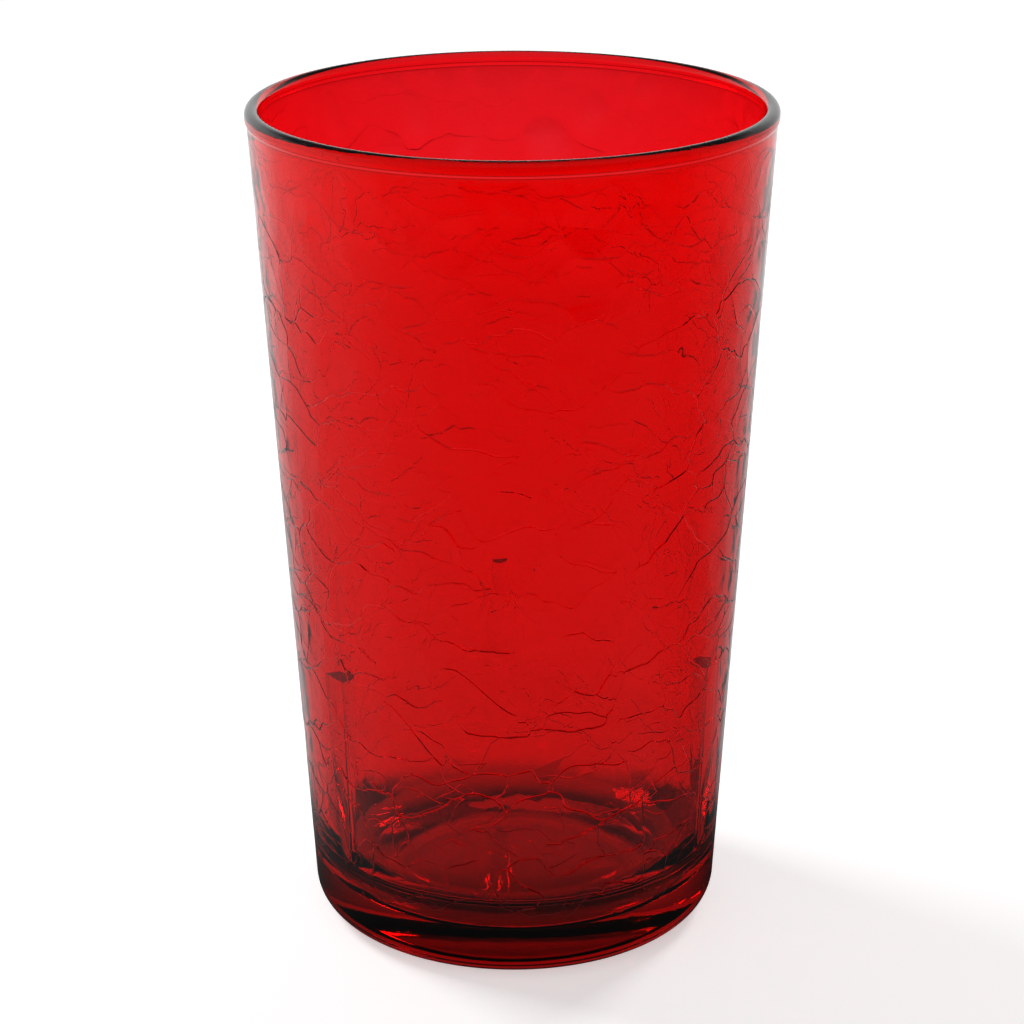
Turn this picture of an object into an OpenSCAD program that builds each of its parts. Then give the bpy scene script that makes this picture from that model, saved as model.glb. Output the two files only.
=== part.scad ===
// Stackable plastic tumbler, moulded in one piece. Millimetres, +Z up, standing on z = 0 with +Z as its axis.
// One closed profile makes the cup: dished underside, foot ring, rounded heel, tapered wall, full-round lip,
// inner wall and a floor that sweeps up into the wall. Upright lugs inside carry the next cup in a stack.

/* [Tumbler] */
// Height from the table to the top of the lip
height = 133; // [100:1:170]
// Outside diameter of the lip
rim_d = 81.5; // [76:0.5:95]
// Diameter that the outer wall's line would have on the table
base_d = 65.3; // [58:0.5:72]

/* [Lip] */
// Thickness of the full-round lip
lip_thickness = 2.3; // [1.8:0.1:3.2]
// Height of the smooth band that carries the lip
lip_height = 2.3; // [1.8:0.1:5]
// How far the lip band stands out from the wall below it
lip_step = 0.3; // [0.15:0.05:0.5]
// Height of the sloped shoulder under the lip band
lip_shoulder = 0.15; // [0.1:0.05:0.4]

/* [Wall and floor] */
// Thickness of the wall at the floor, measured level
wall_base = 2.6; // [2:0.1:3.5]
// Thickness of the floor in the middle, above the dished underside
floor_thickness = 4.6; // [3.5:0.1:8]
// Radius of the sweep from the floor up into the inner wall
floor_sweep = 14; // [6:0.5:18]

/* [Foot] */
// Radius of the rounded heel between the foot ring and the wall
heel_radius = 5; // [3:0.5:7]
// Height of the shallow dish in the underside, at its middle
dish_height = 0.6; // [0.3:0.1:1.5]
// Width of the flat ring that the cup stands on
foot_ring_w = 3; // [1:0.1:6]

/* [Stacking lugs] */
// Number of lugs, evenly spaced round the inside
lug_count = 3; // [2:1:6]
// Width of a lug, which is also the diameter of its rounded inner face
lug_w = 4.6; // [3:0.1:8]
// Height of the lugs' flat tops above the table
lug_top = 46.4; // [35:0.2:60]
// How far a lug's top stands in from the inner wall
lug_depth = 2.8; // [2:0.1:4]
// Direction of the first lug, counted from +X towards +Y
lug_turn = 95.3; // [0:0.1:360]

/* [Hidden] */
$fn = 96;
lip_steps = 18;
heel_steps = 12;
sweep_steps = 16;
dish_steps = 5;
rim_r = rim_d / 2;
lip_r = lip_thickness / 2;
// Outer wall: a straight taper from the table line to the underside of the lip band
base_r = base_d / 2;
wall_top_z = height - lip_height;
wall_top_r = rim_r - lip_step;
outer_lean = atan((wall_top_r - base_r) / wall_top_z);
// Inner wall: a straight taper from the floor to the middle of the lip
floor_z = dish_height + floor_thickness;
mouth_z = height - lip_r;
mouth_r = rim_r - lip_thickness;
floor_r = wall_line(floor_z) - wall_base;
inner_lean = atan((mouth_r - floor_r) / (mouth_z - floor_z));
// Centres of the heel's and the sweep's arcs, tangent to the wall beside them and the level face below them
heel_r = base_r - heel_radius * (1 - sin(outer_lean)) / cos(outer_lean);
sweep_z = floor_z + floor_sweep;
sweep_r = inner_line(sweep_z) - floor_sweep / cos(inner_lean);
// The dish is a shallow spherical cap inside the foot ring
dish_r = heel_r - foot_ring_w;
dish_ball = (dish_r ^ 2 + dish_height ^ 2) / (2 * dish_height);
dish_angle = asin(dish_r / dish_ball);
// A lug's inner face stands upright, so the lug is deepest at its top. Its hidden root is half a wall deep
lug_reach = inner_line(lug_top) - lug_depth;
root_share = 0.5;
lug_sink = 1;

function wall_line(z) = base_r + z * (wall_top_r - base_r) / wall_top_z;
function inner_line(z) = floor_r + (z - floor_z) * (mouth_r - floor_r) / (mouth_z - floor_z);
function root_line(z) = inner_line(z) + root_share * (wall_line(z) - inner_line(z));
// Points of an arc about [r, z], from one angle to the other
function arc(r, z, radius, from, to, steps) =
    [for (i = [0:steps]) let (a = from + (to - from) * i / steps) [r + radius * cos(a), z + radius * sin(a)]];

module cup_wall() {
    rotate_extrude()
        polygon(concat(
            arc(0, dish_height - dish_ball, dish_ball, 90, 90 - dish_angle, dish_steps),
            arc(heel_r, heel_radius, heel_radius, -90, -outer_lean, heel_steps),
            [[wall_top_r, wall_top_z]],
            [[rim_r, wall_top_z + lip_shoulder]],
            arc(rim_r - lip_r, mouth_z, lip_r, 0, 180, lip_steps),
            arc(sweep_r, sweep_z, floor_sweep, -inner_lean, -90, sweep_steps),
            [[0, floor_z]]
        ));
}

// The space inside the cup, grown into the wall and the floor as deep as the lugs' roots go
module root_space() {
    low_z = floor_z - lug_sink;
    rotate_extrude()
        polygon([[0, low_z], [root_line(low_z), low_z], [root_line(lug_top), lug_top], [0, lug_top]]);
}

// One upright bar along +X with a rounded inner face, taller and deeper than the lug that is cut from it
module lug_bar() {
    bar_h = lug_top + lug_sink;
    translate([lug_reach + lug_w / 2, 0, 0]) {
        cylinder(h = bar_h, d = lug_w);
        translate([0, -lug_w / 2, 0])
            cube([base_r, lug_w, bar_h]);
    }
}

module lugs() {
    intersection() {
        for (i = [0:lug_count - 1])
            rotate([0, 0, lug_turn + i * 360 / lug_count])
                lug_bar();
        root_space();
    }
}

module tumbler() {
    color([0.78, 0.03, 0.06, 0.75])
        union() {
            cup_wall();
            lugs();
        }
}

tumbler();
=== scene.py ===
# %% [markdown]
# A stackable drinking tumbler, injection-moulded in one shot from clear red SAN plastic. Its outside is cast
# with a crackle relief, like crumpled foil, and its inside is polished. The CAD model gives the true size and
# the smooth form. This lesson loads that model as a fixed frame, and then makes the body again with the
# relief, the clear plastic and the light.

# %% Load the frame
import math
import random
import bmesh
import bpy
import numpy as np
from mathutils import Matrix, Vector, geometry, kdtree, noise


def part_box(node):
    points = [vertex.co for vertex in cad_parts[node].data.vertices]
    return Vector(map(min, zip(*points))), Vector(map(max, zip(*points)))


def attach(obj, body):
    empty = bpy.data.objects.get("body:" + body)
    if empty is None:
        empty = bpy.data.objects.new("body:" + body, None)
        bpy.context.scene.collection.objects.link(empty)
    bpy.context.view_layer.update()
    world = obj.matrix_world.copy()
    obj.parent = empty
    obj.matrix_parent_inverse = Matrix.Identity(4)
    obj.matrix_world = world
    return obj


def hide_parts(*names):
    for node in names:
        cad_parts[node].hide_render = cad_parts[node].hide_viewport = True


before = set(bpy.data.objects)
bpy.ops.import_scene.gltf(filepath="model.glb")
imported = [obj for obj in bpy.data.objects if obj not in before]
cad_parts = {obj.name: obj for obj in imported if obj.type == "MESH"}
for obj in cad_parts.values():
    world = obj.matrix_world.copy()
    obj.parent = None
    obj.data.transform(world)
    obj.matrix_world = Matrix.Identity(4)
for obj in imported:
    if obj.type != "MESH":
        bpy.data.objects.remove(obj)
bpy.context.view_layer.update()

# %% [markdown]
# The photograph was taken from a little above, at about 20 degrees, with a long lens. A camera is a place, a
# direction and a focal length. All three were matched to the tumbler's outline, so here they are plain
# numbers: distances are in tumbler heights, so that the view keeps its frame if the tumbler's size changes.

# %% Camera
MM = 0.001
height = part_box("tumbler")[1][2]
camera_back = 3.31283
camera_up = 1.70527
camera_pitch = 0.34898
camera_yaw = -0.00057
camera_roll = -0.00342
sensor_w = 36.0
focal_in_image_widths = 2932.302 / 1024


def make_camera():
    data = bpy.data.cameras.new("camera")
    data.sensor_width = sensor_w
    data.lens = sensor_w * focal_in_image_widths
    data.clip_start = 0.01
    camera = bpy.data.objects.new("camera", data)
    bpy.context.scene.collection.objects.link(camera)
    level = math.cos(camera_pitch)
    ahead = Vector((math.sin(camera_yaw) * level, math.cos(camera_yaw) * level, -math.sin(camera_pitch)))
    right = Vector((math.cos(camera_yaw), -math.sin(camera_yaw), 0))
    up = right.cross(ahead)
    rolled_right = right * math.cos(camera_roll) + up * math.sin(camera_roll)
    rolled_up = up * math.cos(camera_roll) - right * math.sin(camera_roll)
    turn = Matrix((rolled_right, rolled_up, -ahead)).transposed().to_4x4()
    place = Vector((0, -camera_back, camera_up)) * height
    camera.matrix_world = Matrix.Translation(place) @ turn
    bpy.context.scene.camera = camera
    return camera


camera = make_camera()
print("camera at", tuple(round(c, 3) for c in camera.location), "lens", round(camera.data.lens, 1), "mm")

# %% [markdown]
# A moulded cup is a turned shape: one outline, swept round the axis. The outline below is the closed one of
# the CAD model, in millimetres: the dished underside, the foot ring, the heel, the tapered wall, the step and
# the full-round lip, and then the inner wall down to the floor. Overall sizes are read from the frame, and the
# smaller ones are named here. Only the step under the lip is drawn softer than in the CAD model, over
# lip_blend, because a polished mould has no knife edge there and clear plastic would show one as a dark line.

# %% Outline of the cup
cup_h = height / MM
rim_r = max(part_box("tumbler")[1][0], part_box("tumbler")[1][1]) / MM
base_r = 65.3 / 2
lip_thickness = 2.3
lip_height = 2.3
lip_step = 0.3
lip_shoulder = 0.15
lip_blend = 0.9
wall_base = 2.6
floor_thickness = 4.6
floor_sweep = 14.0
heel_radius = 5.0
dish_height = 0.6
foot_ring_w = 3.0

lip_r = lip_thickness / 2
wall_top_z = cup_h - lip_height
wall_top_r = rim_r - lip_step
outer_lean = math.atan((wall_top_r - base_r) / wall_top_z)
floor_z = dish_height + floor_thickness
mouth_z = cup_h - lip_r
mouth_r = rim_r - lip_thickness


def wall_line(z):
    """Radius of the smooth outer wall at a height."""
    return base_r + z * (wall_top_r - base_r) / wall_top_z


floor_r = wall_line(floor_z) - wall_base
inner_lean = math.atan((mouth_r - floor_r) / (mouth_z - floor_z))


def inner_line(z):
    """Radius of the inner wall at a height."""
    return floor_r + (z - floor_z) * math.tan(inner_lean)


def arc(r, z, radius, start, end, steps):
    """Points of an arc about (r, z), from one angle to the other, in radians."""
    angles = [start + (end - start) * i / steps for i in range(steps + 1)]
    return [(r + radius * math.cos(a), z + radius * math.sin(a)) for a in angles]


def line(a, b, steps):
    """Points between a and b, without a itself."""
    return [tuple(p + (q - p) * i / steps for p, q in zip(a, b)) for i in range(1, steps + 1)]


print("cup", round(cup_h, 2), "mm high, lip radius", round(rim_r, 2), "and floor radius", round(floor_r, 2))

# %% [markdown]
# The crackle relief stops just above the heel and just under the lip. So the outline has three runs: the base
# up to the relief, the lip with the inner wall, and between them the wall itself, which is made by another
# way further down. The heel, the sweep and the lip are round, so they get many short steps: clear plastic
# shows every facet of a curved face.

# %% Outline points
relief_low = 9.0
relief_high = wall_top_z - 0.5
lug_top = 46.4
heel_r = base_r - heel_radius * (1 - math.sin(outer_lean)) / math.cos(outer_lean)
sweep_z = floor_z + floor_sweep
sweep_r = inner_line(sweep_z) - floor_sweep / math.cos(inner_lean)
dish_r = heel_r - foot_ring_w
dish_ball = (dish_r**2 + dish_height**2) / (2 * dish_height)
dish_angle = math.asin(dish_r / dish_ball)
down = -math.pi / 2
dish_steps, heel_steps, lip_steps, blend_steps, sweep_steps, lug_run_steps = 8, 24, 24, 8, 30, 5


def base_outline():
    """From the middle of the underside out and up to where the relief starts."""
    points = arc(0, dish_height - dish_ball, dish_ball, -down, -down - dish_angle, dish_steps)
    points += arc(heel_r, heel_radius, heel_radius, down, -outer_lean, heel_steps)
    points += line(points[-1], (wall_line(relief_low), relief_low), 2)
    return points


def lip_outline():
    """From the top of the relief over the lip, to the inner wall."""
    points = [(wall_line(relief_high), relief_high)]
    for i in range(blend_steps + 1):
        share = i / blend_steps
        out = lip_step * share**2 * (3 - 2 * share)
        z = wall_top_z + (lip_blend - lip_shoulder) * (share - 0.5) + lip_shoulder / 2
        points.append((wall_top_r + out, z))
    points += arc(rim_r - lip_r, mouth_z, lip_r, 0, math.pi, lip_steps)
    return points


def inside_outline():
    """From just under the lugs' tops down the inner wall, through the sweep and over the floor."""
    sweep = arc(sweep_r, sweep_z, floor_sweep, -inner_lean, down, sweep_steps)
    points = line((inner_line(lug_top), lug_top), sweep[0], lug_run_steps) + sweep[1:]
    points += line(sweep[-1], (0, floor_z), 4)
    return points


print(len(base_outline()), "base,", len(lip_outline()), "lip and", len(inside_outline()), "inside points")

# %% [markdown]
# Three upright lugs stand inside the wall and keep stacked tumblers from jamming. Each is a bar with a round
# inner face, 4.6 mm wide, and it runs out where the sweep meets it. The cup is built from rings of points, so
# every ring gets extra points where the lugs are: on a plain ring they lie on the circle, and below the lugs'
# tops they are pulled in to the bar's outline.

# %% Rings with lugs
lug_count = 3
lug_w = 4.6
lug_depth = 2.8
lug_turn = math.radians(95.3)
lug_reach = inner_line(lug_top) - lug_depth
nose_r = lug_w / 2
nose_x = lug_reach + nose_r
nose_steps = 14
foot_round = 0.12
plain_sectors = 192
lug_angles = [lug_turn + k * math.tau / lug_count for k in range(lug_count)]


def ring_columns():
    """(angle, nose angle or None, lug number) of each column of points, in order of angle."""
    ring_r = inner_line(lug_top)
    half = math.asin((nose_r + 2 * foot_round) / ring_r)
    columns = []
    for i in range(plain_sectors):
        angle = math.tau * i / plain_sectors
        apart = min(abs((angle - lug + math.pi) % math.tau - math.pi) for lug in lug_angles)
        if apart > half:
            columns.append((angle, None, 0))
    for k, lug in enumerate(lug_angles):
        for i in range(nose_steps + 1):
            nose = math.pi * (i / nose_steps - 0.5)
            columns.append(((lug + math.asin(nose_r * math.sin(nose) / ring_r)) % math.tau, nose, k))
        for side in (-1, 1):
            foot = math.asin((nose_r + foot_round) / ring_r)
            columns.append(((lug + side * foot) % math.tau, None, k))
    return sorted(columns, key=lambda column: column[0])


columns = ring_columns()


def ring_point(column, r, z, lugged):
    """One point of a ring, in mm."""
    angle, nose, k = column
    if nose is None or not lugged:
        return (r * math.cos(angle), r * math.sin(angle), z)
    x = nose_x - nose_r * math.cos(nose)
    y = nose_r * math.sin(nose)
    if math.hypot(x, y) > r:
        return (r * math.cos(angle), r * math.sin(angle), z)
    lug = lug_angles[k]
    return (x * math.cos(lug) - y * math.sin(lug), x * math.sin(lug) + y * math.cos(lug), z)


print(len(columns), "columns in each ring, lugs reach in to", round(lug_reach, 2), "mm from the axis")

# %% [markdown]
# The relief is a net of fine creases. The mould was etched or cut like crumpled foil: long creases run across
# each other, bend, fork and fade, and leave flat facets from a few millimetres to a centimetre wide. Such a
# net could be a bump texture, but the creases are seen edge-on at the sides of the cup, so they are cut into
# the mesh here. The facets start as Voronoi cells of scattered seeds: the creases are the cells' borders.

# %% Scatter seeds and find the cells' borders
wall_r = 36.5
around = math.tau * wall_r
facet_w = 8.4
facet_flatten = 1.45
fine_facet_w = 3.6
overlap = 4
longest = 6


def voronoi_borders(cell, seed):
    """Borders (start, end) of Voronoi cells of about that size in mm, flattened, on the unrolled wall."""
    draw = random.Random(seed)
    low, high = -2 * cell, cup_h + 2 * cell
    count = int(around * (high - low) * facet_flatten / cell**2)
    seeds = [(draw.uniform(0, around), draw.uniform(low, high) * facet_flatten) for _ in range(count)]
    edge = overlap * cell
    seeds += [(u - around, v) for u, v in seeds if u > around - edge]
    seeds += [(u + around, v) for u, v in seeds if 0 <= u < edge]
    points, _, triangles = geometry.delaunay_2d_cdt([Vector(s) for s in seeds], [], [], 0, 1e-6)[:3]
    middles, sides = [], {}
    for i, corners in enumerate(triangles):
        (ax, ay), (bx, by), (cx, cy) = (points[c] for c in corners)
        turn = 2 * ((bx - ax) * (cy - ay) - (by - ay) * (cx - ax))
        b2, c2 = (bx - ax) ** 2 + (by - ay) ** 2, (cx - ax) ** 2 + (cy - ay) ** 2
        middle_x = ax + (b2 * (cy - ay) - c2 * (by - ay)) / turn
        middle_y = ay + (c2 * (bx - ax) - b2 * (cx - ax)) / turn
        middles.append((middle_x, middle_y))
        for j in range(3):
            sides.setdefault(frozenset((corners[j], corners[j - 1])), []).append(i)
    borders = []
    for pair in sides.values():
        if len(pair) == 2:
            a, b = (Vector((middles[i][0], middles[i][1] / facet_flatten)) for i in pair)
            if 0 <= (a.x + b.x) / 2 < around and (b - a).length < longest * cell:
                borders.append((a, b))
    return borders


main_borders = voronoi_borders(facet_w, seed=11)
fine_borders = voronoi_borders(fine_facet_w, seed=23)
print(len(main_borders), "main and", len(fine_borders), "fine creases")

# %% [markdown]
# Straight borders look like a giraffe's coat and not like foil. So each border is cut into short steps, and
# every point is shifted by smooth noise: wide waves bend the creases, and small ones make them waver. Noise
# also says where a crease is deep and where it fades, so some facets run together. The noise is read on the
# round wall and not on the unrolled one, so it has no seam. Its vectors start from the clock unless the noise
# is seeded, so it gets a seed, and every run makes the same net. Creases that run level are cut deeper than
# upright ones, and all of them get shallow near the lip, as on the real cup.

# %% Bend, waver and fade the creases
step_mm = 0.6
bend_mm, bend_wave = 3.6, 9.0
waver_mm, waver_wave = 1.1, 2.8
fade_wave = 16.0
crease_depth, crease_half_w = 0.08, 0.15
fine_depth, fine_half_w = 0.035, 0.13
level_depth, upright_depth = 1.4, 0.5
weakest, strongest = 0.55, 1.0
low_gap, low_run = 0.6, 4
high_gap, high_run = 0.3, 1.5
fade_middle, fade_swing, fade_offset = 0.75, 0.5, 40
waver_offset = Vector((7, 3, 5))
noise.seed_set(1)
main_dropped = 0.2
fine_dropped, fine_kept_by_noise = 1.25, 0.8
calm_from, calm_to, calm_share = 108.0, 124.0, 0.25


def on_wall(u, z):
    angle = u / wall_r
    return Vector((wall_r * math.cos(angle), wall_r * math.sin(angle), z))


def shifted(p):
    """A point of the unrolled wall, moved by the two sizes of waves."""
    place = on_wall(p.x, p.y)
    bend = noise.noise_vector(place / bend_wave) * bend_mm
    waver = noise.noise_vector(place / waver_wave + waver_offset) * waver_mm
    return p + Vector((bend.x + waver.x, bend.z + waver.z))


def keep_share(u, z, offset):
    """Smooth noise from 0 to 1 on the wall."""
    return 0.5 + 0.5 * noise.noise(on_wall(u, z) / fade_wave + Vector((offset, 0, 0)))


def edge_fade(z):
    """1 on the wall, shallow near the lip, and 0 at the relief's lower and upper ends."""
    low = min(1, max(0, (z - relief_low - low_gap) / low_run))
    high = min(1, max(0, (relief_high - high_gap - z) / high_run))
    calm = min(1, max(0, (z - calm_from) / (calm_to - calm_from)))
    return low * high * (1 - (1 - calm_share) * calm)


def creases(borders, depth, half_w, dropped, offset, seed):
    """Lists of (u, z, depth, half width), one for each crease that is left."""
    draw = random.Random(seed)
    made = []
    for a, b in borders:
        lot, strength = draw.random(), draw.uniform(weakest, strongest)
        middle = (a + b) / 2
        level = abs(b.x - a.x) / ((b - a).length + 1e-9)
        strength *= upright_depth + (level_depth - upright_depth) * level**2
        if lot < dropped(keep_share(middle.x, middle.y, offset)):
            continue
        steps = max(2, round((b - a).length / step_mm))
        made.append([])
        for i in range(steps + 1):
            p = shifted(a.lerp(b, i / steps))
            swing = fade_swing * (keep_share(p.x, p.y, offset + fade_offset) - 0.5)
            fade = edge_fade(p.y) * (fade_middle + swing)
            made[-1].append((p.x, p.y, depth * strength * fade, half_w))
    return made


main_creases = creases(main_borders, crease_depth, crease_half_w, lambda share: main_dropped, 0, seed=5)
fine_creases = creases(
    fine_borders, fine_depth, fine_half_w,
    lambda share: fine_dropped - fine_kept_by_noise * share, 20, seed=6,
)
crease_length = sum(len(crease) * step_mm for crease in main_creases + fine_creases)
print(round(crease_length), "mm of creases on the wall")

# %% [markdown]
# Now the creases become a mesh. A grid fine enough for 0.3 mm grooves would need millions of faces, so the
# faces follow the creases instead: each groove gets a row of points along its bottom and one along each
# shoulder, and the flat facets between get none. A constrained Delaunay triangulation joins them. It works on
# a plane, so the wall is laid out as a flat ring first: an exponential keeps every shape true and only grows
# it outward, and a ring has no seam.

# %% Lay the wall out as a ring and triangulate it
row_gap = 0.1
bottom_low, bottom_high = relief_low + 0.4, relief_high - 0.2
rim_low, rim_high = relief_low + 0.3, relief_high - 0.1


def to_ring(u, z):
    grown = wall_r * math.exp(z / wall_r)
    return Vector((grown * math.cos(u / wall_r), grown * math.sin(u / wall_r)))


def relief_points():
    """Points (u, z, depth), and the edges along the grooves' bottoms."""
    points, edges, rims = [], [], []
    for crease in main_creases + fine_creases:
        inside = [p for p in crease if bottom_low < p[1] < bottom_high]
        for i, (u, z, depth, half_w) in enumerate(inside):
            if i:
                edges.append((len(points) - 1, len(points)))
            points.append((u, z, depth))
            back, ahead = inside[max(0, i - 1)], inside[min(len(inside) - 1, i + 1)]
            along = Vector((ahead[0] - back[0], ahead[1] - back[1]))
            if along.length > 0:
                across = Vector((-along.y, along.x)).normalized() * half_w
                rims += [(u + across.x, z + across.y), (u - across.x, z - across.y)]
    bottoms = kdtree.KDTree(len(points))
    for i, (u, z, _) in enumerate(points):
        bottoms.insert(on_wall(u, z), i)
    bottoms.balance()
    clear = [(u, z, 0.0) for u, z in rims if bottoms.find(on_wall(u, z))[2] > row_gap]
    clear = [p for p in clear if rim_low < p[1] < rim_high]
    return points + clear, edges, bottoms, points


relief, relief_edges, bottoms, bottom_points = relief_points()
ring_u = [angle * wall_r for angle, _, _ in columns]
ring_n = len(ring_u)
border_points = [(u, z, 0.0) for z in (relief_low, relief_high) for u in ring_u]
border_edges = [(k * ring_n + i, k * ring_n + (i + 1) % ring_n) for k in (0, 1) for i in range(ring_n)]
all_points = border_points + relief
all_edges = border_edges + [(a + 2 * ring_n, b + 2 * ring_n) for a, b in relief_edges]
flat = [to_ring(u, z) for u, z, _ in all_points]
found = geometry.delaunay_2d_cdt(flat, all_edges, [], 0, 1e-5)
flat_points, _, flat_triangles, came_from = found[:4]
print(len(flat_points), "relief points,", len(flat_triangles), "triangles")

# %% [markdown]
# The triangulated ring is rolled up onto the tapered wall, and each groove's bottom is sunk by its depth. The
# rings of the base, the lip and the inside are sewn to it point by point. The cup has to be one closed skin:
# the renderer reads the space inside a closed skin as solid plastic.

# %% Build the closed body
vertices, faces, groove_faces = [], [], set()
flat_depth = 0.002
shoulder_gap = 0.1


def add_ring(r, z, lugged=False):
    """Adds one ring of points and returns their numbers. A ring at the axis is one point."""
    if r < 1e-6:
        vertices.append((0.0, 0.0, z))
        return [len(vertices) - 1] * ring_n
    start = len(vertices)
    vertices.extend(ring_point(column, r, z, lugged) for column in columns)
    return list(range(start, start + ring_n))


def join_rings(a, b):
    for i in range(ring_n):
        j = (i + 1) % ring_n
        corners = list(dict.fromkeys((a[i], a[j], b[j], b[i])))
        if len(corners) > 2:
            faces.append(corners)


def add_rings(outline, lugged=False):
    """Adds and joins the rings of an outline, and returns them."""
    rings = [add_ring(r, z, lugged) for r, z in outline]
    for a, b in zip(rings, rings[1:]):
        join_rings(a, b)
    return rings


def add_relief(low_ring, high_ring):
    numbers, grooved = [], []
    for place, sources in zip(flat_points, came_from):
        source = sources[0] if sources else None
        if source is not None and source < 2 * ring_n:
            numbers.append((low_ring + high_ring)[source])
            grooved.append(False)
            continue
        angle = math.atan2(place.y, place.x)
        z = wall_r * math.log(place.length / wall_r)
        if source is not None:
            depth = all_points[source][2]
        else:
            nearest = bottoms.find(on_wall(angle * wall_r, z))[1]
            depth = bottom_points[nearest][2]
        r = wall_line(z) - depth
        numbers.append(len(vertices))
        grooved.append(depth > flat_depth)
        vertices.append((r * math.cos(angle), r * math.sin(angle), z))
    low = set(low_ring)
    for corners in flat_triangles:
        ids = [numbers[c] for c in corners]
        if len(set(ids)) == 3 and not low.issuperset(ids):
            if any(grooved[c] for c in corners):
                groove_faces.add(len(faces))
            faces.append(ids)


base_rings = add_rings(base_outline())
lip_rings = add_rings(lip_outline())
add_relief(base_rings[-1], lip_rings[0])
above_lugs = lug_top + shoulder_gap
shoulder = add_rings([(inner_line(above_lugs), above_lugs), (inner_line(lug_top), lug_top)])
join_rings(lip_rings[-1], shoulder[0])
lug_rings = add_rings([(inner_line(lug_top), lug_top)] + inside_outline(), lugged=True)
join_rings(shoulder[-1], lug_rings[0])
print(len(vertices), "points and", len(faces), "faces")

# %% [markdown]
# Where a lug's top meets the wall, two rings share the plain columns' points, so close points are merged. Then
# the faces are turned to look outward, and the shading is set: smooth over the round parts, sharp at true
# edges such as the lugs' tops, and flat on the grooves' sides so that each crease stays a crisp line.

# %% Clean up and shade the body
merge_mm = 1e-4
sharp_angle = math.radians(35)


def make_body():
    mesh = bpy.data.meshes.new("tumbler_body")
    mesh.from_pydata([tuple(c * MM for c in v) for v in vertices], [], faces)
    mesh.polygons.foreach_set("use_smooth", [True] * len(faces))
    groove = mesh.attributes.new("groove", "BOOLEAN", "FACE")
    groove.data.foreach_set("value", [i in groove_faces for i in range(len(faces))])
    return mesh


def merge_and_turn(mesh):
    work = bmesh.new()
    work.from_mesh(mesh)
    bmesh.ops.remove_doubles(work, verts=work.verts, dist=merge_mm * MM)
    bmesh.ops.dissolve_degenerate(work, edges=work.edges, dist=merge_mm * MM)
    bmesh.ops.recalc_face_normals(work, faces=work.faces)
    open_edges = sum(1 for e in work.edges if not e.is_manifold)
    volume = work.calc_volume()
    work.to_mesh(mesh)
    work.free()
    return open_edges, volume


def shade(mesh):
    mesh.set_sharp_from_angle(angle=sharp_angle)
    groove = np.zeros(len(mesh.polygons), bool)
    mesh.attributes["groove"].data.foreach_get("value", groove)
    counts = np.zeros(len(mesh.polygons), int)
    mesh.polygons.foreach_get("loop_total", counts)
    edges = np.zeros(len(mesh.loops), int)
    mesh.loops.foreach_get("edge_index", edges)
    beside = np.bincount(edges, weights=np.repeat(groove, counts), minlength=len(mesh.edges))
    sharp = np.zeros(len(mesh.edges), bool)
    mesh.attributes["sharp_edge"].data.foreach_get("value", sharp)
    mesh.attributes["sharp_edge"].data.foreach_set("value", sharp | (beside == 1))
    mesh.polygons.foreach_set("use_smooth", ~groove)
    mesh.attributes.remove(mesh.attributes["groove"])


body_mesh = make_body()
open_edges, body_volume = merge_and_turn(body_mesh)
shade(body_mesh)
body = bpy.data.objects.new("tumbler_body", body_mesh)
bpy.context.scene.collection.objects.link(body)
triangles = sum(len(p.vertices) - 2 for p in body_mesh.polygons)
print(triangles, "triangles,", open_edges, "open edges,", round(body_volume / MM**3), "mm3 of plastic")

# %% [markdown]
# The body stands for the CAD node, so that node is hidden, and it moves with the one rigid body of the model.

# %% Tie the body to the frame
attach(body, "root")
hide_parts("tumbler")
print(body.name, "replaces the CAD node tumbler and takes the slot clear_red_plastic")

# %% [markdown]
# Colours are written as sRGB hex values, as a paint chart gives them, and the renderer wants linear ones. Node
# trees are built by one helper that adds a node, sets its values and links its inputs. Two short forms of it
# do one step of arithmetic, and blend smoothly from one value to another.

# %% Helpers for materials


def linear(code):
    """Linear RGBA of an sRGB hex colour such as #FE005D."""
    channels = [int(code[i : i + 2], 16) / 255 for i in (1, 3, 5)]
    return tuple(c / 12.92 if c <= 0.04045 else ((c + 0.055) / 1.055) ** 2.4 for c in channels) + (1.0,)


def add_node(tree, kind, inputs=(), **settings):
    """Adds a node. inputs maps a socket's name or number to a value, or to the output that feeds it."""
    node = tree.nodes.new(kind)
    for name, value in settings.items():
        setattr(node, name, value)
    for socket, value in dict(inputs).items():
        if isinstance(value, bpy.types.NodeSocket):
            tree.links.new(value, node.inputs[socket])
        else:
            node.inputs[socket].default_value = value
    return node


def calculate(tree, operation, *values):
    """The output of one step of arithmetic on numbers or sockets."""
    return add_node(tree, "ShaderNodeMath", dict(enumerate(values)), operation=operation).outputs[0]


def smooth_step(tree, value, start, end, low=0, high=1):
    """An output that goes smoothly from low, where value is start, to high, where it is end."""
    return add_node(tree, "ShaderNodeMapRange", {
        "Value": value, "From Min": start, "From Max": end, "To Min": low, "To Max": high,
    }, interpolation_type="SMOOTHSTEP").outputs[0]


print("#808080 is", round(linear("#808080")[0], 3), "in linear light")

# %% [markdown]
# SAN is a clear, stiff and glossy plastic that is used for drinkware. It bends light by 1.57, a little more
# than glass does. The red is a dye all through it, so it belongs in the volume and not on the surface: thin
# places stay bright, and the thick base turns deep red. Moulded SAN is nearly mirror-smooth, and the relief's
# facets carry only faint ripples, which are too low to model and are bump.

# %% Clear red SAN
san_ior = 1.57
dye_colour = "#FE005D"
dye_density = 2200
moulded_roughness = 0.02
ripple_mm = 2.2
ripple_height_mm = 0.006


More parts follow.
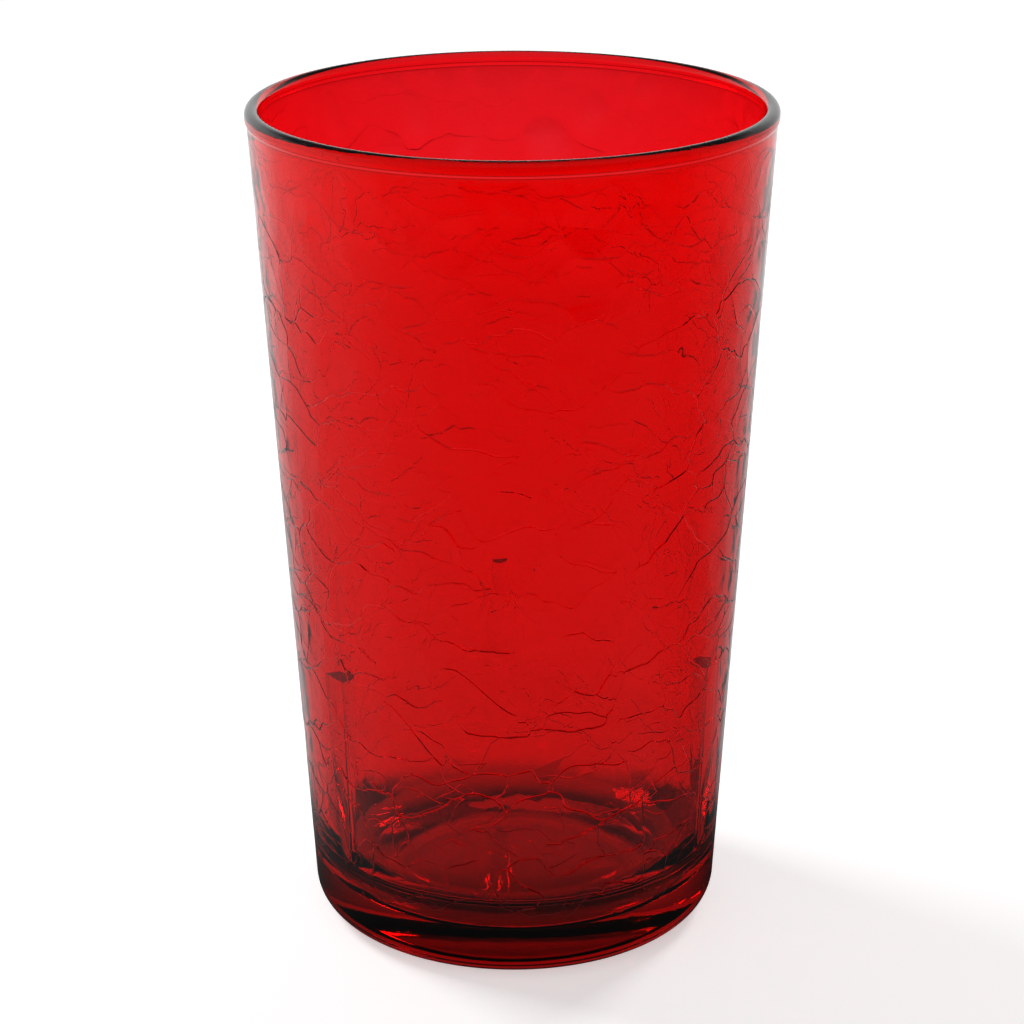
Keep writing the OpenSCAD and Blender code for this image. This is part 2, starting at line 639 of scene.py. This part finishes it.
def clear_red_san():
    material = bpy.data.materials.new("clear_red_SAN_moulded")
    material.use_nodes = True
    tree = material.node_tree
    tree.nodes.clear()
    place = add_node(tree, "ShaderNodeTexCoord").outputs["Object"]
    ripple = add_node(tree, "ShaderNodeTexNoise", {"Vector": place, "Scale": 1 / (ripple_mm * MM), "Detail": 0})
    bump = add_node(tree, "ShaderNodeBump", {"Height": ripple.outputs[0], "Distance": ripple_height_mm * MM})
    plastic = add_node(tree, "ShaderNodeBsdfPrincipled", {
        "Base Color": (1, 1, 1, 1),
        "Transmission Weight": 1,
        "IOR": san_ior,
        "Roughness": moulded_roughness,
        "Normal": bump.outputs[0],
    })
    dye = add_node(tree, "ShaderNodeVolumeAbsorption", {"Color": linear(dye_colour), "Density": dye_density})
    add_node(tree, "ShaderNodeOutputMaterial", {"Surface": plastic.outputs[0], "Volume": dye.outputs[0]})
    return material


body_mesh.materials.append(clear_red_san())
print("SAN dyed with", dye_colour, "at density", dye_density)

# %% [markdown]
# Clear plastic has no look of its own: it shows its surroundings. Behind the tumbler stands a wide white
# backdrop, the room in front is dim, and the left side is brighter than the right one. So brightness depends
# on the direction, and each side has stops that say how bright it is from the front, -1, to the back, 1.

# %% Brightness by direction
left_side = [
    (-1, 0.01), (-0.87, 0.04), (-0.57, 0.1), (-0.2, 0.25), (0.12, 0.36), (0.22, 0.42), (0.5, 0.53),
    (0.64, 0.78), (0.8, 0.9),
]
right_side = [
    (-1, 0.01), (-0.28, 0.03), (0.156, 0.11), (0.42, 0.22), (0.72, 0.52), (0.87, 0.8), (0.95, 0.9),
]
side_blend = 0.3


def brightness(tree, part, stops):
    """A grey from one part of a level direction, by the stops (part, grey)."""
    share = add_node(tree, "ShaderNodeMapRange", {"Value": part, "From Min": -1, "From Max": 1})
    ramp = add_node(tree, "ShaderNodeValToRGB", {0: share.outputs[0]})
    marks = ramp.color_ramp.elements
    while len(marks) > 1:
        marks.remove(marks[-1])
    for i, (part_at, grey) in enumerate(stops):
        mark = marks[0] if i == 0 else marks.new((part_at + 1) / 2)
        mark.position = (part_at + 1) / 2
        mark.color = (grey, grey, grey, 1)
    return ramp.outputs[0]


def surroundings(tree, direction):
    """The studio's brightness in a direction: by how far it points back, on the left and on the right."""
    level = add_node(tree, "ShaderNodeVectorMath", {0: direction, 1: (1, 1, 0)}, operation="MULTIPLY")
    side = add_node(tree, "ShaderNodeVectorMath", {0: level.outputs[0]}, operation="NORMALIZE").outputs[0]
    parts = add_node(tree, "ShaderNodeSeparateXYZ", {0: side}).outputs
    return add_node(tree, "ShaderNodeMix", {
        0: smooth_step(tree, parts["X"], -side_blend, side_blend),
        2: brightness(tree, parts["Y"], left_side),
        3: brightness(tree, parts["Y"], right_side),
    }).outputs[0]


print("brightness has", len(left_side), "stops on the left and", len(right_side), "on the right")

# %% [markdown]
# The tumbler stands on a matt white sweep. To mirror rays the sheet shows a painted reflection: it glows as
# bright as the studio is on that side, with a painted glow in front of the cup, and painted shade dims it
# towards the foot. To other rays its white has a painted shadow, a dark ring round the foot that stands for a
# contact shadow, and far behind the cup the sheet glows a little with painted light, standing for a sweep that
# curves up into its backdrop. To the camera it is lifted to plain white, and keeps the shadow that the lamps
# cast. Distances are in metres from the middle of the foot.

# %% Looks of the sweep
sweep_white = 0.95
camera_lift = 0.52
# Painted light: far behind the cup the sheet glows a little, standing for a backdrop.
backdrop_from, backdrop_to, painted_backdrop_glow = 0.32, 0.48, 0.16
# Painted reflection: in mirrors the sheet is dimmed near the cup and at the foot as painted shade, and
# brightened in front by a painted glow.
near_share, near_r, far_r = 0.66, 0.18, 0.42
painted_front_glow, glow_from, glow_to = 0.22, 0.4, 0.05
front_from, front_to = 0.2, -0.6
foot_from, foot_to, foot_share = 0.034, 0.075, 0.15
# Painted shadow: a dark ring in the paper's white round the foot, seen by every ray but the camera's.
painted_shadow_inner, painted_shadow_outer, painted_shadow_dark = (0.0265, 0.0300), (0.0420, 0.0300), 0.88


def painted_mirror_brightness(tree, place, away):
    """A painted reflection: the sheet's glow in mirrors, as the studio on that side, with a painted glow in
    front and painted shade towards the foot.
    """
    side = add_node(tree, "ShaderNodeVectorMath", {0: place}, operation="NORMALIZE").outputs[0]
    side_y = add_node(tree, "ShaderNodeSeparateXYZ", {0: side}).outputs["Y"]
    front = smooth_step(tree, side_y, front_from, front_to)
    glow = add_node(tree, "ShaderNodeMapRange", {
        "Value": away, "From Min": glow_from, "From Max": glow_to, "To Max": painted_front_glow,
    }).outputs[0]
    lit = calculate(tree, "MULTIPLY_ADD", glow, front, surroundings(tree, place))
    near = smooth_step(tree, away, near_r, far_r, near_share)
    foot = smooth_step(tree, away, foot_from, foot_to, foot_share)
    return calculate(tree, "MULTIPLY", lit, calculate(tree, "MULTIPLY", near, foot))


def paper_white_with_painted_shadow(tree, away, camera_ray):
    """The paper's white: plain to the camera, and to other rays with a painted shadow, a dark ring round the
    foot.
    """
    ring = calculate(tree, "SUBTRACT", 1, camera_ray)
    for start, end in (painted_shadow_inner, painted_shadow_outer):
        ring = smooth_step(tree, away, start, end, high=ring)
    return calculate(tree, "MULTIPLY_ADD", ring, -painted_shadow_dark * sweep_white, sweep_white)


def sweep_material():
    material = bpy.data.materials.new("matt_white_paper")
    material.use_nodes = True
    tree = material.node_tree
    tree.nodes.clear()
    ray = add_node(tree, "ShaderNodeLightPath").outputs
    place = add_node(tree, "ShaderNodeTexCoord").outputs["Object"]
    place_y = add_node(tree, "ShaderNodeSeparateXYZ", {0: place}).outputs["Y"]
    away = add_node(tree, "ShaderNodeVectorMath", {0: place}, operation="LENGTH").outputs["Value"]
    paper = add_node(tree, "ShaderNodeBsdfDiffuse", {"Color": paper_white_with_painted_shadow(tree, away, ray["Is Camera Ray"])})
    # A painted glow on the sheet far behind the cup.
    painted_glow_behind = smooth_step(tree, place_y, backdrop_from, backdrop_to, high=painted_backdrop_glow)
    lift = add_node(tree, "ShaderNodeMix", {0: ray["Is Camera Ray"], 2: painted_glow_behind, 3: camera_lift})
    lift_light = add_node(tree, "ShaderNodeEmission", {"Strength": lift.outputs[0]})
    lifted = add_node(tree, "ShaderNodeAddShader", {0: paper.outputs[0], 1: lift_light.outputs[0]})
    # To mirror rays the sheet shows the painted reflection instead of the lit paper.
    painted_mirror_light = add_node(tree, "ShaderNodeEmission", {"Strength": painted_mirror_brightness(tree, place, away)})
    sheet = add_node(tree, "ShaderNodeMixShader", {
        0: calculate(tree, "GREATER_THAN", ray["Is Glossy Ray"], ray["Is Transmission Ray"]),
        1: lifted.outputs[0],
        2: painted_mirror_light.outputs[0],
    })
    add_node(tree, "ShaderNodeOutputMaterial", {"Surface": sheet.outputs[0]})
    return material


sweep_finish = sweep_material()
print(sweep_finish.name, "has", len(sweep_finish.node_tree.nodes), "nodes")

# %% [markdown]
# The sheet itself is one flat square, far wider than the picture, so that no edge of it shows. It lies a hair
# under the foot so that no two faces share a plane, and it belongs to the stage and not to the object.

# %% White sweep
sweep_half = 3.0
sweep_gap_mm = 0.05


def white_sweep():
    half = sweep_half
    mesh = bpy.data.meshes.new("white_sweep")
    corners = [(-half, -half, 0), (half, -half, 0), (half, half, 0), (-half, half, 0)]
    mesh.from_pydata(corners, [], [(0, 1, 2, 3)])
    sheet = bpy.data.objects.new("white_sweep", mesh)
    sheet.location.z = -sweep_gap_mm * MM
    bpy.context.scene.collection.objects.link(sheet)
    mesh.materials.append(sweep_finish)


white_sweep()
print("sweep", 2 * sweep_half, "m wide,", sweep_gap_mm, "mm under the foot")

# %% [markdown]
# The world is plain white where the camera looks past the object, and for all other rays it has the studio's
# brightness in that direction, with a dim ceiling.

# %% World
ceiling = 0.07
ceiling_from, ceiling_to = 0.3, 0.6


def make_world():
    world = bpy.data.worlds.new("studio")
    bpy.context.scene.world = world
    world.use_nodes = True
    tree = world.node_tree
    direction = add_node(tree, "ShaderNodeTexCoord").outputs["Generated"]
    height_part = add_node(tree, "ShaderNodeSeparateXYZ", {0: direction}).outputs["Z"]
    up = smooth_step(tree, height_part, ceiling_from, ceiling_to)
    room = add_node(tree, "ShaderNodeMix", {0: up, 2: surroundings(tree, direction), 3: ceiling})
    seen = add_node(tree, "ShaderNodeLightPath").outputs["Is Camera Ray"]
    strength = add_node(tree, "ShaderNodeMix", {0: seen, 2: room.outputs[0], 3: 1.0})
    tree.nodes["Background"].inputs["Color"].default_value = (1, 1, 1, 1)
    tree.links.new(strength.outputs[0], tree.nodes["Background"].inputs["Strength"])


make_world()
print("world with", len(bpy.context.scene.world.node_tree.nodes), "nodes, its ceiling at", ceiling)

# %% [markdown]
# Two softboxes stand behind the tumbler, left and right, and shine down on the sweep. Light that falls through
# the back of the cup makes the two bright spots beside the dark arc of the base. A weak third lamp in front
# fills the sweep's near side.

# %% Lamps
lamps = {
    "softbox_left": ((-0.650, 0.406, 0.643), 0.36, 4.6),
    "softbox_right": ((0.482, 0.617, 0.623), 0.22, 2.6),
    "fill": ((-0.2, -0.6, 0.7), 1.3, 2),
}
lamp_target = Vector((0, 0, 0.07))


def make_lamps():
    for name, (place, size, power) in lamps.items():
        data = bpy.data.lights.new(name, "AREA")
        data.size = size
        data.energy = power
        lamp = bpy.data.objects.new(name, data)
        lamp.location = place
        lamp.visible_glossy = False
        lamp.rotation_euler = (lamp_target - Vector(place)).to_track_quat("-Z", "Y").to_euler()
        bpy.context.scene.collection.objects.link(lamp)


make_lamps()
print("lamps in watts", {name: power for name, (_, _, power) in lamps.items()})

# %% [markdown]
# Light bounces many times inside thick clear plastic, and eight bounces take it through both walls and the
# base. The denoiser clears the last grain.

# %% Render settings
scene = bpy.context.scene
scene.view_settings.view_transform = "Standard"
scene.cycles.max_bounces = 8
scene.cycles.transmission_bounces = 8
scene.cycles.glossy_bounces = 4
scene.cycles.diffuse_bounces = 1
scene.cycles.use_denoising = True
